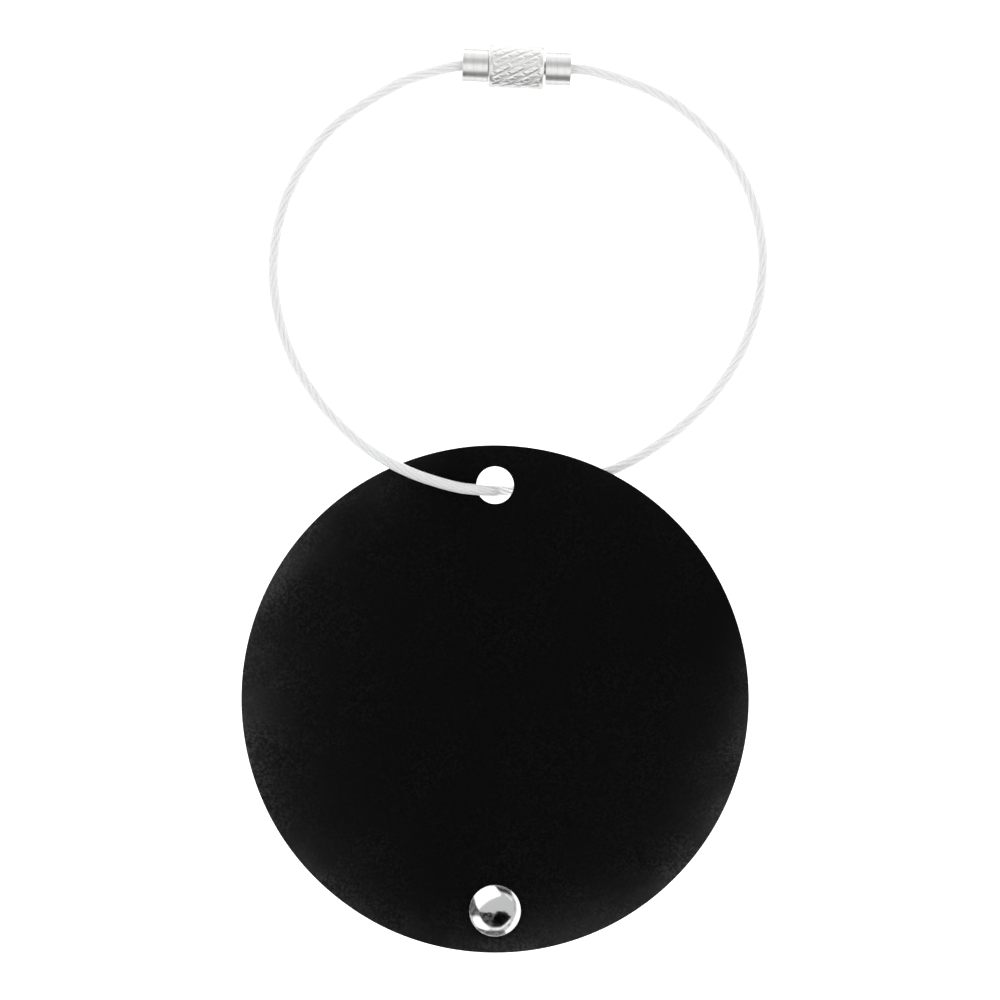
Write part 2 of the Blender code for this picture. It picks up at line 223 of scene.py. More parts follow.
def maths(tree, operation, a, b=0.0):
    return node(tree, "ShaderNodeMath", {0: a, 1: b}, operation=operation).outputs[0]


def mixed(tree, factor, a, b):
    """The colour a at factor 0, and b at factor 1. Each is three numbers or an output."""
    made = node(tree, "ShaderNodeMix", data_type="RGBA")  # inputs 6 and 7 are its two colours
    for socket, value in ((made.inputs[0], factor), (made.inputs[6], a), (made.inputs[7], b)):
        if isinstance(value, bpy.types.NodeSocket):
            tree.links.new(value, socket)
        else:
            socket.default_value = (*value, 1.0)
    return made.outputs[2]


def bumped(tree, shader, *layers):
    """Bump from (height output, depth in metres) layers, the first one applied first."""
    normal = None
    for height, depth in layers:
        sockets = {"Height": height, "Distance": depth, "Strength": 1.0}
        if normal:
            sockets["Normal"] = normal
        normal = node(tree, "ShaderNodeBump", sockets).outputs["Normal"]
    tree.links.new(normal, shader.inputs["Normal"])


def split(tree, vector):
    return node(tree, "ShaderNodeSeparateXYZ", {0: vector}).outputs


# Materials ---------------------------------------------------------------------------------

LEATHER_TONE, SHEEN_TONE = 0.0020, 0.0165  # the dye's own tone, and what the full painted sheen adds
SHEEN_LEFT, SHEEN_LOW_RIGHT = 186, 312  # azimuths of the two parts of the rim given a painted sheen, in degrees
RIM_SHEEN, INNER_SHEEN = 2.4 * MM, 9.0 * MM  # how far in each part of the painted sheen fades


def from_middle(tree, x, y):
    """Distance from the tag's middle."""
    squares = maths(tree, "ADD", maths(tree, "MULTIPLY", x, x), maths(tree, "MULTIPLY", y, y))
    return maths(tree, "SQRT", squares)


def around_middle(tree, place, azimuth):
    """Distance from the tag's middle, and the cosine of the angle from an azimuth in degrees."""
    x, y, _ = split(tree, place)
    out = from_middle(tree, x, y)
    across = maths(tree, "MULTIPLY", x, math.cos(math.radians(azimuth)))
    up = maths(tree, "MULTIPLY", y, math.sin(math.radians(azimuth)))
    return out, maths(tree, "DIVIDE", maths(tree, "ADD", across, up), out)


def black_leather():
    """Fine-grained black leather: shallow pores and creases. It is painted paler towards the left and
    the lower right of the rim, a painted sheen, where the grain's pale specks also show more."""
    made, tree, shader = finish("black_leather", (0.003, 0.003, 0.003), 0.5,
                                Specular_IOR_Level=0.03)
    place = place_of(tree)

    # Painted sheen: how much each place gets, most on the two sides where light catches the leather,
    # and less and less in from the rim
    out, leftwards = around_middle(tree, place, SHEEN_LEFT)
    _, rightwards = around_middle(tree, place, SHEEN_LOW_RIGHT)
    sides = maths(tree, "ADD", ramp(tree, leftwards, 0.0, 1.0, 0.05, 1.0),
                  ramp(tree, rightwards, 0.35, 0.95, 0.0, 0.62))
    drift = ramp(tree, noise_of(tree, place, 11 * MM, 3.0), 0.3, 0.7, -1.5 * MM, 1.5 * MM)
    inset = maths(tree, "SUBTRACT", maths(tree, "ADD", out, drift), DISC_RADIUS)
    near = maths(tree, "EXPONENT", maths(tree, "DIVIDE", inset, RIM_SHEEN))
    far = maths(tree, "EXPONENT", maths(tree, "DIVIDE", inset, INNER_SHEEN))
    fade = maths(tree, "ADD", near, maths(tree, "MULTIPLY", far, 0.22))
    painted_sheen = maths(tree, "MINIMUM", maths(tree, "MULTIPLY", sides, fade), 1.4)

    # Pale specks on the grain's pebbles, partly its tone and partly painted highlights, stronger in
    # some patches and with the painted sheen
    pebbles = noise_of(tree, place, 0.36 * MM, 2.0, 0.6)
    patches = ramp(tree, noise_of(tree, place, 7 * MM, 4.0, 0.6), 0.38, 0.68, 0.35, 1.7)
    contrast = maths(tree, "MULTIPLY", patches, ramp(tree, painted_sheen, 0.0, 0.8, 0.75, 1.0))
    lit = maths(tree, "MULTIPLY", ramp(tree, pebbles, 0.36, 0.74, -0.25, 0.80), contrast)
    mean = maths(tree, "ADD", LEATHER_TONE, maths(tree, "MULTIPLY", painted_sheen, SHEEN_TONE))
    grained = maths(tree, "MAXIMUM", maths(tree, "ADD", lit, 1.0), 0.15)
    tree.links.new(maths(tree, "MULTIPLY", mean, grained), shader.inputs["Base Color"])

    # Creases between irregular cells, and pores
    drifting = node(tree, "ShaderNodeTexNoise", {"Vector": place, "Scale": 1 / (1.1 * MM)})
    drifted = node(tree, "ShaderNodeVectorMath", {
        0: place,
        1: stretched(tree, drifting.outputs["Color"], (0.4 * MM,) * 3),
    }, operation="ADD")
    cells = node(tree, "ShaderNodeTexVoronoi", {
        "Vector": drifted.outputs[0],
        "Scale": 1 / (0.52 * MM),
    }, feature="DISTANCE_TO_EDGE")
    creases = ramp(tree, cells.outputs["Distance"], 0.0, 0.16)
    pores = noise_of(tree, place, 0.16 * MM, 2.0)
    tree.links.new(ramp(tree, creases, 0.0, 1.0, 0.58, 0.50), shader.inputs["Roughness"])
    bumped(tree, shader, (creases, 0.014 * MM), (pores, 0.010 * MM),
           (noise_of(tree, place, 2.4 * MM, 2.0), 0.05 * MM))
    return made


def flesh_side():
    """The leather's inner side: short, matt, brushed nap."""
    made, tree, shader = finish("leather_flesh_side", (0.02, 0.02, 0.02), 0.95,
                                Specular_IOR_Level=0.15, Sheen_Weight=0.25, Sheen_Roughness=0.6)
    place = place_of(tree)
    nap = noise_of(tree, stretched(tree, place, (1.0, 0.35, 1.0)), 0.22 * MM, 5.0, 0.7)
    patches = noise_of(tree, place, 6 * MM, 3.0)
    shade = maths(tree, "MULTIPLY", nap, maths(tree, "ADD", 0.5, patches))
    tree.links.new(mixed(tree, shade, (0.008, 0.008, 0.008), (0.045, 0.043, 0.041)),
                   shader.inputs["Base Color"])
    bumped(tree, shader, (nap, 0.06 * MM))
    return made


def cut_edge():
    """Painted and burnished cut edge, with the layers of the leather just showing."""
    made, tree, shader = finish("leather_cut_edge", (0.015, 0.015, 0.015), 0.42,
                                Specular_IOR_Level=0.3)
    place = place_of(tree)
    layers = noise_of(tree, stretched(tree, place, (1.0, 1.0, 9.0)), 1.3 * MM, 4.0, 0.6)
    tree.links.new(mixed(tree, layers, (0.006, 0.006, 0.006), (0.030, 0.029, 0.028)),
                   shader.inputs["Base Color"])
    bumped(tree, shader, (layers, 0.03 * MM))
    return made


def polished_chrome():
    """Mirror-bright plating with faint smears and a slight ripple."""
    made, tree, shader = finish("polished_chrome", (0.90, 0.905, 0.91), 0.045, 1.0)
    place = place_of(tree)
    smears = ramp(tree, noise_of(tree, place, 1.6 * MM, 3.0, 0.6), 0.35, 0.8, 0.11, 0.17)
    tree.links.new(smears, shader.inputs["Roughness"])
    bumped(tree, shader, (noise_of(tree, place, 0.9 * MM, 2.0), 0.010 * MM))
    return made


def closure_coordinates(tree):
    """A point's place in the closure's own frame, with Z along its axis."""
    offset = node(tree, "ShaderNodeVectorMath", {0: place_of(tree), 1: CLOSURE}, operation="SUBTRACT")
    turned = node(tree, "ShaderNodeVectorRotate", {
        "Vector": offset.outputs[0],
        "Rotation": closure_turn().to_euler(),
    }, rotation_type="EULER_XYZ", invert=True)
    return turned.outputs[0]


def turned_steel(name, colour, roughness):
    """Bright turned steel. Fine lines run round the closure's axis."""
    made, tree, shader = finish(name, colour, roughness, 1.0)
    place = closure_coordinates(tree)
    lines = noise_of(tree, stretched(tree, place, (0.06, 0.06, 1.0)), 0.11 * MM, 3.0, 0.7)
    bands = noise_of(tree, stretched(tree, place, (0.05, 0.05, 1.0)), 0.45 * MM, 2.0)
    tone = maths(tree, "ADD", maths(tree, "MULTIPLY", lines, 0.6), maths(tree, "MULTIPLY", bands, 0.4))
    darker = tuple(0.84 * part for part in colour)
    tree.links.new(mixed(tree, ramp(tree, tone, 0.30, 0.62), darker, colour),
                   shader.inputs["Base Color"])
    tree.links.new(ramp(tree, lines, 0.3, 0.7, roughness + 0.10, roughness - 0.03),
                   shader.inputs["Roughness"])
    bumped(tree, shader, (lines, 0.010 * MM))
    return made


def knurled_steel():
    """The barrel's steel, a little uneven in tone."""
    made, tree, shader = finish("knurled_steel", (0.90, 0.90, 0.89), 0.42, 1.0)
    place = place_of(tree)
    grime = noise_of(tree, place, 0.5 * MM, 3.0)
    tree.links.new(mixed(tree, ramp(tree, grime, 0.3, 0.7), (0.84, 0.84, 0.83), (0.94, 0.94, 0.93)),
                   shader.inputs["Base Color"])
    tree.links.new(ramp(tree, grime, 0.3, 0.7, 0.48, 0.36), shader.inputs["Roughness"])
    bumped(tree, shader, (noise_of(tree, place, 0.12 * MM, 2.0), 0.008 * MM))
    return made


def drawn_steel():
    """Plain drawn steel of the rivet's inner parts and the swivel pin."""
    made, tree, shader = finish("drawn_steel", (0.62, 0.62, 0.61), 0.3, 1.0)
    place = place_of(tree)
    lines = noise_of(tree, stretched(tree, place, (1.0, 1.0, 0.1)), 0.12 * MM, 3.0)
    tree.links.new(mixed(tree, lines, (0.50, 0.50, 0.49), (0.70, 0.70, 0.69)),
                   shader.inputs["Base Color"])
    tree.links.new(ramp(tree, lines, 0.2, 0.8, 0.25, 0.42), shader.inputs["Roughness"])
    bumped(tree, shader, (lines, 0.01 * MM))
    return made


def rope_steel():
    """Bright galvanised wire, pale and soft through the coating, with a painted glow that is strongest
    in the hole.
    """
    made, tree, shader = finish("rope_steel", (0.96, 0.96, 0.96), 0.50, 0.10,
                                Emission_Color=(1, 1, 1, 1))
    place = place_of(tree)
    tone = noise_of(tree, place, 0.7 * MM, 3.0)
    tree.links.new(mixed(tree, tone, (0.92, 0.92, 0.92), (0.99, 0.99, 0.99)),
                   shader.inputs["Base Color"])
    tree.links.new(ramp(tree, tone, 0.3, 0.7, 0.55, 0.42), shader.inputs["Roughness"])
    # Painted light: the rope glows most just inside the hole, where the leather shades it, and faintly
    # everywhere else
    in_hole = HOLE + Vector((1.7, -0.7, -1.3)) * MM
    away = node(tree, "ShaderNodeVectorMath", {0: place, 1: in_hole}, operation="DISTANCE")
    tree.links.new(ramp(tree, away.outputs["Value"], 1.2 * MM, 2.5 * MM, 0.31, 0.07),
                   shader.inputs["Emission Strength"])
    return made


def clear_coating():
    """The clear, soft plastic that the rope is coated with. Its edges glow a little, a painted
    highlight.
    """
    made, tree, shader = finish("clear_coating", (0.985, 0.985, 0.985), 0.06,
                                Transmission_Weight=1.0, IOR=1.48, Emission_Color=(1, 1, 1, 1))
    place = place_of(tree)
    haze = noise_of(tree, place, 1.8 * MM, 3.0)
    tree.links.new(ramp(tree, haze, 0.3, 0.7, 0.04, 0.13), shader.inputs["Roughness"])
    # Painted highlight: the coating glows where it is seen edge-on
    edge = node(tree, "ShaderNodeLayerWeight", {"Blend": 0.5}).outputs["Facing"]
    tree.links.new(ramp(tree, edge, 0.50, 0.92, 0.0, 0.24), shader.inputs["Emission Strength"])
    bumped(tree, shader, (noise_of(tree, place, 0.8 * MM, 2.0), 0.012 * MM))
    return made


def card_stock():
    """Off-white card with plain printed rules to write on, and a thin ring round the edge."""
    made, tree, shader = finish("card_stock", (0.82, 0.80, 0.74), 0.85, Specular_IOR_Level=0.25)
    place = place_of(tree)
    x, y, _ = split(tree, place)
    fibres = noise_of(tree, stretched(tree, place, (1.0, 0.4, 1.0)), 0.5 * MM, 4.0, 0.65)
    paper = mixed(tree, fibres, (0.74, 0.72, 0.66), (0.86, 0.84, 0.79))

    pitch, half_line = 8 * MM, 0.11 * MM
    rows, reach = 2.5, 22 * MM  # how far the rules go from the middle, up and to the sides
    row = maths(tree, "DIVIDE", y, pitch)
    off_row = maths(tree, "ABSOLUTE", maths(tree, "SUBTRACT", row, maths(tree, "ROUND", row)))
    rule = maths(tree, "LESS_THAN", maths(tree, "MULTIPLY", off_row, pitch), half_line)
    rule = maths(tree, "MULTIPLY", rule, maths(tree, "LESS_THAN", maths(tree, "ABSOLUTE", x), reach))
    rule = maths(tree, "MULTIPLY", rule, maths(tree, "LESS_THAN", maths(tree, "ABSOLUTE", row), rows))
    ring_radius = (CARD_HIGH.x - CARD_LOW.x) / 2 - 2 * MM
    from_ring = maths(tree, "SUBTRACT", from_middle(tree, x, y), ring_radius)
    ring = maths(tree, "LESS_THAN", maths(tree, "ABSOLUTE", from_ring), half_line)
    ink = maths(tree, "MAXIMUM", rule, ring)
    tree.links.new(mixed(tree, ink, paper, (0.10, 0.10, 0.11)), shader.inputs["Base Color"])
    bumped(tree, shader, (fibres, 0.02 * MM))
    return made


# Mesh helpers ------------------------------------------------------------------------------


def add_mesh(name, points, faces, *materials):
    mesh = bpy.data.meshes.new(name)
    mesh.from_pydata([tuple(point) for point in points], [], faces)
    mesh.validate()
    for material in materials:
        mesh.materials.append(material)
    piece = bpy.data.objects.new(name, mesh)
    scene.collection.objects.link(piece)
    return piece


def smooth(piece, sharp_above=40.0):
    piece.data.shade_smooth()
    piece.data.set_sharp_from_angle(angle=math.radians(sharp_above))
    return piece


def grid_faces(rings, around, closed=True):
    """Quads between successive closed rings of points. The last ring joins the first if closed."""
    faces = []
    for ring in range(rings if closed else rings - 1):
        after = (ring + 1) % rings
        for step in range(around):
            beside = (step + 1) % around
            faces.append((ring * around + step, ring * around + beside,
                          after * around + beside, after * around + step))
    return faces


def lathe(name, profile, place, material, segments, radius_of=None):
    """A closed profile of (radius, height) turned about local Z and put in place. radius_of,
    if given, changes the radius of a point from its angle, radius and height."""
    points = []
    for radius, height in profile:
        for step in range(segments):
            angle = 2 * math.pi * step / segments
            out = radius_of(angle, radius, height) if radius_of else radius
            points.append(place @ Vector((out * math.cos(angle), out * math.sin(angle), height)))
    faces = [face[::-1] for face in grid_faces(len(profile), segments)]
    piece = add_mesh(name, points, faces, material)
    fix_normals(piece)
    return piece


def fix_normals(piece):
    """Turn every face outwards."""
    work = bmesh.new()
    work.from_mesh(piece.data)
    bmesh.ops.recalc_face_normals(work, faces=work.faces)
    work.to_mesh(piece.data)
    work.free()


def run(start, end, step):
    """Evenly spaced heights from start to end, about step apart, both included."""
    count = max(1, round(abs(end - start) / step))
    return [start + (end - start) * n / count for n in range(count + 1)]


def corner(x, y, radius, start, end, steps=6):
    """(radius, height) points of a rounded corner about (x, y), from angle to angle in degrees."""
    angles = [math.radians(start + (end - start) * n / steps) for n in range(steps + 1)]
    return [(x + radius * math.cos(angle), y + radius * math.sin(angle)) for angle in angles]


# Cable -------------------------------------------------------------------------------------


def closure_turn():
    """Turns local Z onto the closure's axis, and local Y up."""
    up = Vector((0.0, 0.0, 1.0))
    return Matrix((up.cross(CLOSURE_AXIS), up, CLOSURE_AXIS)).transposed()


def closure_place():
    return Matrix.Translation(CLOSURE) @ closure_turn().to_4x4()


def cable_line():
    """The cable's centreline, from bore to bore, as a dense smooth line."""
    left_mouth = LEFT_FACE - FERRULE_LENGTH
    right_mouth = BARREL_LENGTH / 2 + FERRULE_LENGTH
    middle = (BACK_LOW.z + COVER_HIGH.z) / 2

    def on_axis(along):
        return CLOSURE + CLOSURE_AXIS * along

    points = [on_axis(left_mouth + BORE_END), on_axis(left_mouth + BORE_START)]
    points += [Vector(point) for point in ROUTE_LEFT]
    points += [Vector((x, y, middle + rise)) for x, y, rise in ROUTE_EYE]
    points += [Vector(point) for point in ROUTE_RIGHT]
    points += [on_axis(right_mouth - BORE_START), on_axis(right_mouth - BORE_END)]
    return smooth_line(points)


def smooth_line(points):
    """A centripetal Catmull-Rom curve through the points, as a dense polyline."""
    per_span = 40
    ends = [2 * points[0] - points[1]] + points + [2 * points[-1] - points[-2]]
    line = []
    for p0, p1, p2, p3 in zip(ends, ends[1:], ends[2:], ends[3:]):
        k0 = 0.0
        k1 = k0 + math.sqrt((p1 - p0).length)
        k2 = k1 + math.sqrt((p2 - p1).length)
        k3 = k2 + math.sqrt((p3 - p2).length)
        for step in range(per_span):
            k = k1 + (k2 - k1) * step / per_span
            a1 = p0.lerp(p1, (k - k0) / (k1 - k0))
            a2 = p1.lerp(p2, (k - k1) / (k2 - k1))
            a3 = p2.lerp(p3, (k - k2) / (k3 - k2))
            b1 = a1.lerp(a2, (k - k0) / (k2 - k0))
            b2 = a2.lerp(a3, (k - k1) / (k3 - k1))
            line.append(b1.lerp(b2, (k - k1) / (k2 - k1)))
    return line + [points[-1]]


def resampled(line, step):
    """Points at equal steps along the line, ends included, with the length up to each."""
    total = sum((b - a).length for a, b in zip(line, line[1:]))
    count = round(total / step)
    step = total / count
    kept, lengths, passed, wanted = [line[0]], [0.0], 0.0, step
    for before, here in zip(line, line[1:]):
        span = (here - before).length
        while wanted <= passed + span and len(kept) < count:
            kept.append(before.lerp(here, (wanted - passed) / span))
            lengths.append(wanted)
            wanted += step
        passed += span
    return kept + [line[-1]], lengths + [total]


def frames_along(points):
    """Two unit vectors across the line at each point, carried along without twist."""
    forward = (points[1] - points[0]).normalized()
    side = forward.orthogonal().normalized()
    frames = []
    for n, point in enumerate(points):
        ahead = points[min(n + 1, len(points) - 1)] - points[max(n - 1, 0)]
        turn = forward.rotation_difference(ahead.normalized())
        forward = ahead.normalized()
        side = turn @ side
        side = (side - forward * side.dot(forward)).normalized()
        frames.append((side, forward.cross(side)))
    return frames


def sweep(centres, frames, around, radius_of):
    """Points and quads of a tube along the centres, with flat ends. radius_of(n, angle)."""
    points = []
    for n, (centre, (side, up)) in enumerate(zip(centres, frames)):
        for step in range(around):
            angle = 2 * math.pi * step / around
            out = radius_of(n, angle)
            points.append(centre + (side * math.cos(angle) + up * math.sin(angle)) * out)
    faces = grid_faces(len(centres), around, closed=False)
    faces.append(tuple(range(around))[::-1])
    faces.append(tuple((len(centres) - 1) * around + step for step in range(around)))
    return points, faces


def make_coating(line, material):
    """The coating's tube, and the centreline that it was swept along."""
    centres, _ = resampled(line, 0.45 * MM)
    frames = frames_along(centres)
    points, faces = sweep(centres, frames, 28, lambda n, angle: CABLE_DIAMETER / 2)
    return smooth(add_mesh("cable_coating", points, faces, material)), centres


def make_rope(line, material):
    """Six strands laid right-handed round a core. Each strand's wires, laid the other way,
    show as ridges on it."""
    centres, lengths = resampled(line, 0.36 * MM)
    frames = frames_along(centres)
    points, faces = [], []

    def add(new_points, new_faces):
        first = len(points)
        points.extend(new_points)
        faces.extend(tuple(first + n for n in face) for face in new_faces)

    def strand_radius(phase):
        def radius(n, angle):
            wires = math.cos(WIRES * (angle + phase) + 2 * math.pi * WIRES * lengths[n] / WIRE_LAY)
            return STRAND_RADIUS * (STRAND_MEAN + WIRE_RIDGE * wires)
        return radius

    for strand in range(STRANDS):
        path = []
        for centre, (side, up), length in zip(centres, frames, lengths):
            angle = 2 * math.pi * (length / ROPE_LAY + strand / STRANDS)
            out = side * math.cos(angle) + up * math.sin(angle)
            path.append(centre + out * 2 * STRAND_RADIUS)
        add(*sweep(path, frames_along(path), 18, strand_radius(strand)))
    add(*sweep(centres, frames, 10, lambda n, angle: STRAND_RADIUS))
    return smooth(add_mesh("cable_rope", points, faces, material), 80.0)


# Leather -----------------------------------------------------------------------------------

EDGE_ROUNDING = 0.22 * MM
PUNCH_ROUNDING = 0.10 * MM
LEATHER_SPACING = 0.8 * MM
RIM_WOBBLE, WOBBLE_BAND = 0.02 * MM, 2 * MM  # how far the rim wanders, and how far in that shows
DIMPLE_DEPTH, DIMPLE_RADIUS, DIMPLE_FADE = 0.09 * MM, 3.3 * MM, 0.9 * MM  # round the rivet
EDGES = [  # middle, radius, -1 if the leather is inside it, rounding, points round it
    (Vector((0.0, 0.0)), DISC_RADIUS, -1, EDGE_ROUNDING, 300),
    (HOLE.xy, CABLE_HOLE_RADIUS, 1, PUNCH_ROUNDING, 72),
    (RIVET.xy, RIVET_HOLE_RADIUS, 1, PUNCH_ROUNDING, 40),
]
EDGE_STEPS = 5


def relief(x, y, seed):
    """Slow unevenness of the leather's face."""
    slow = noise.noise(Vector((x, y, seed)) / (16 * MM))
    quick = noise.noise(Vector((x, y, seed)) / (4.5 * MM))
    return 0.016 * MM * slow + 0.006 * MM * quick - 0.02 * MM


def rivet_dimple(x, y):
    """How far the leather is pressed in under the rivet's cap and just round it."""
    out = math.hypot(x - RIVET.x, y - RIVET.y)
    return -DIMPLE_DEPTH * math.exp(-max(0.0, out - DIMPLE_RADIUS) ** 2 / DIMPLE_FADE ** 2)


def nearest_edge(point):
    """Distance from the nearest edge, and that edge's rounding."""
    return min((inward * ((point - centre).length - radius), rounding)
               for centre, radius, inward, rounding, _ in EDGES)


def flat_disc():
    """Points and triangles of a flat disc with its two holes. Rings of points follow the
    rounded edges, and a triangular lattice fills the rest."""
    flat, ring_edges = [], []
    for centre, radius, inward, rounding, count in EDGES:
        for ring in range(EDGE_STEPS + 1):
            inset = rounding * (1 - math.cos(math.radians(90) * ring / EDGE_STEPS))
            first = len(flat)
            for n in range(count):
                angle = 2 * math.pi * (n + ring / 2) / count
                out = radius + inward * inset
                flat.append(centre + Vector((math.cos(angle), math.sin(angle))) * out)
            if ring == 0:
                ring_edges += [(first + n, first + (n + 1) % count) for n in range(count)]

    rows = int(DISC_RADIUS / (LEATHER_SPACING * math.sqrt(0.75))) + 1
    for row in range(-rows, rows + 1):
        for column in range(-rows - 1, rows + 2):
            point = Vector(((column + (row % 2) / 2) * LEATHER_SPACING,
                            row * LEATHER_SPACING * math.sqrt(0.75)))
            gap, rounding = nearest_edge(point)
            if gap > rounding + 0.4 * LEATHER_SPACING:
                flat.append(point)
    placed, _, triangles, *_ = delaunay_2d_cdt(flat, ring_edges, [], 0, 1e-7)

    def in_hole(face):
        middle = sum((placed[n] for n in face), Vector((0.0, 0.0))) / 3
        return any((middle - centre).length < radius for centre, radius, *_ in EDGES[1:])

    return placed, [face for face in triangles if not in_hole(face)]


def leather_disc(name, low, high, outer_side, grain, flesh, edge, seed):
    """One leather disc with rounded edges, uneven on its grain side. outer_side is +1 if that
    side is up."""
    placed, triangles = flat_disc()
    points = []
    for upper in (True, False):
        for point in placed:
            gap, rounding = nearest_edge(point)
            gap = max(gap, 0.0)
            drop = 0.0
            if gap < rounding:
                drop = rounding - math.sqrt(max(0.0, rounding ** 2 - (rounding - gap) ** 2))
            lift = 0.0
            if upper == (outer_side > 0):
                lift = relief(point.x, point.y, seed) + rivet_dimple(point.x, point.y)
            z = high - drop + lift if upper else low + drop - lift
            spread = 1.0
            if point.length >= DISC_RADIUS - WOBBLE_BAND:
                wander = noise.noise(Vector((point.x, point.y, seed)) / (11 * MM))
                spread += RIM_WOBBLE / DISC_RADIUS * wander
            points.append((point.x * spread, point.y * spread, z))
    count = len(placed)
    faces = [tuple(face) for face in triangles]
    faces += [tuple(n + count for n in reversed(face)) for face in triangles]
    sides = [side for face in triangles for side in zip(face, face[1:] + face[:1])]
    used = set(sides)
    walls = [(b, a, a + count, b + count) for a, b in sides if (b, a) not in used]
    faces += walls
    piece = add_mesh(name, points, faces, grain, flesh, edge)
    fix_normals(piece)
    upper_slot, lower_slot = (0, 1) if outer_side > 0 else (1, 0)
    slots = [upper_slot] * len(triangles) + [lower_slot] * len(triangles) + [2] * len(walls)
    piece.data.polygons.foreach_set("material_index", slots)
    return smooth(piece, 60.0)


# Rivet -------------------------------------------------------------------------------------

CAP_RIM_HEIGHT = 0.63 * MM
CAP_WALL = 0.25 * MM
CAP_LIP = 0.40 * MM
CAP_BEAD = 0.16 * MM
CAP_TIP = 0.002 * MM  # radius at the very top, which keeps the turned profile off its axis


def rivet_cap(name, low, high, face_up, material):
    """A drawn, polished cap with a full dome and a rolled rim, open at the leather."""
    radius = (high.x - low.x) / 2
    height = high.z - low.z

    def dome(out, base, top, steps):
        """(radius, height) points on a round dome, from its rim to its top."""
        sphere = (out ** 2 + (top - base) ** 2) / (2 * (top - base))
        rim = math.asin(out / sphere)
        for n in range(steps + 1):
            angle = rim * (1 - n / steps)
            yield max(sphere * math.sin(angle), CAP_TIP), top - sphere * (1 - math.cos(angle))

    outside = list(dome(radius, CAP_RIM_HEIGHT, height, 44))
    inside = list(dome(radius - CAP_WALL, CAP_RIM_HEIGHT, height - CAP_WALL, 14))
    lip = radius - CAP_WALL - CAP_LIP
    profile = (
        inside[::-1]
        + [(radius - CAP_WALL, CAP_WALL), (lip, CAP_WALL), (lip, 0.0)]
        + corner(radius - CAP_BEAD, CAP_BEAD, CAP_BEAD, -90, 0, 8)
        + outside
    )
    centre = Vector((RIVET.x, RIVET.y, low.z if face_up else high.z))
    turn = Matrix.Identity(4) if face_up else Matrix.Rotation(math.pi, 4, "X")
    piece = lathe(name, profile, Matrix.Translation(centre) @ turn, material, 96)
    return smooth(piece, 50.0)


# Closure -----------------------------------------------------------------------------------

TURNING_PITCH = 0.16 * MM
TURNING_DEPTH = 0.0022 * MM
TURNING_STEP = 0.035 * MM
FERRULE_EDGE = 0.10 * MM
BORE_RADIUS, BORE_DEPTH = 0.83 * MM, 2.4 * MM  # where the cable is held
MOUTH_RADIUS, FLARE_DEPTH = 1.2 * MM, 1.0 * MM
PIN_BORE_RADIUS, PIN_BORE_DEPTH = 1.05 * MM, 0.98 * MM  # where the swivel pin's shank is held
SOCKET_GAP = 0.08 * MM  # between the barrel's nominal end and the socket ferrule
CORE = 0.3 * MM  # radius of the hollow along a turned piece's axis, out of sight
THREAD_PITCH = 0.5 * MM
THREAD_DEPTH = 0.28 * MM
THREAD_RADIUS = 1.47 * MM
STUD_ENGAGED = 4.0 * MM
STUD_ROOT = 0.02 * MM  # how far the stud starts inside its ferrule
STUD_NECK, NECK_RUN_OUT = 0.45 * MM, 0.2 * MM  # plain neck before the thread, and how it begins
STUD_CHAMFER = 0.35 * MM
KNURL_TEETH = 15
KNURL_ANGLE = math.radians(31)
KNURL_DEPTH = 0.16 * MM
KNURL_MARGIN, KNURL_RUN_OUT = 0.42 * MM, 0.22 * MM  # plain end outside the knurl, and its fade
MAIN_GROOVE, CROSS_GROOVE = 0.55, 0.42  # parts of the pitch that the grooves take
CROSS_DEPTH = 0.55  # depth of the crossing grooves, as a part of the main ones' depth
BARREL_EDGE, MOUTH_CHAMFER = 0.34 * MM, 0.2 * MM
BARREL_LIP = 0.35 * MM  # rounded lip that the barrel has towards the stud
PIN_SHOWING = 0.13 * MM  # and how much shorter it is towards the swivel pin
BARREL_BORE, PIN_HOLE, HEAD_POCKET = 1.6 * MM, 1.08 * MM, 1.8 * MM  # radii inside the barrel
END_WALL, POCKET_END = 1.1 * MM, 2.3 * MM  # depths in the barrel, where the pin's head is held


def turning(height):
    """Shallow tool marks round a turned surface."""
    coarse = math.sin(2 * math.pi * height / TURNING_PITCH)
    fine = 0.6 * math.sin(2 * math.pi * height / (0.61 * TURNING_PITCH))
    drift = noise.noise(Vector((height / (0.5 * MM), 3.1, 0.7)))
    return TURNING_DEPTH * (coarse + fine) * (0.6 + drift)


def ferrule(name, low, high, mouth_at_low, material):
    """A turned ferrule between two heights on the closure's axis, bored at its mouth."""
    edge = FERRULE_EDGE
    outside = corner(FERRULE_RADIUS - edge, low + edge, edge, -90, 0, 5)
    outside += [(FERRULE_RADIUS + turning(height), height)
                for height in run(low + edge, high - edge, TURNING_STEP)]
    outside += corner(FERRULE_RADIUS - edge, high - edge, edge, 0, 90, 5)
    if mouth_at_low:
        bottom = low + BORE_DEPTH
        profile = (
            [(BORE_RADIUS, low + FLARE_DEPTH), (MOUTH_RADIUS, low)]
            + outside
            + [(CORE, high), (CORE, bottom), (BORE_RADIUS, bottom)]
        )
    else:
        bottom, shoulder = high - BORE_DEPTH, low + PIN_BORE_DEPTH
        profile = (
            [(PIN_BORE_RADIUS, shoulder), (PIN_BORE_RADIUS, low)]
            + outside
            + [(MOUTH_RADIUS, high), (BORE_RADIUS, high - FLARE_DEPTH)]
            + [(BORE_RADIUS, bottom), (CORE, bottom), (CORE, shoulder)]
        )
    return smooth(lathe(name, profile, closure_place(), material, 96), 50.0)


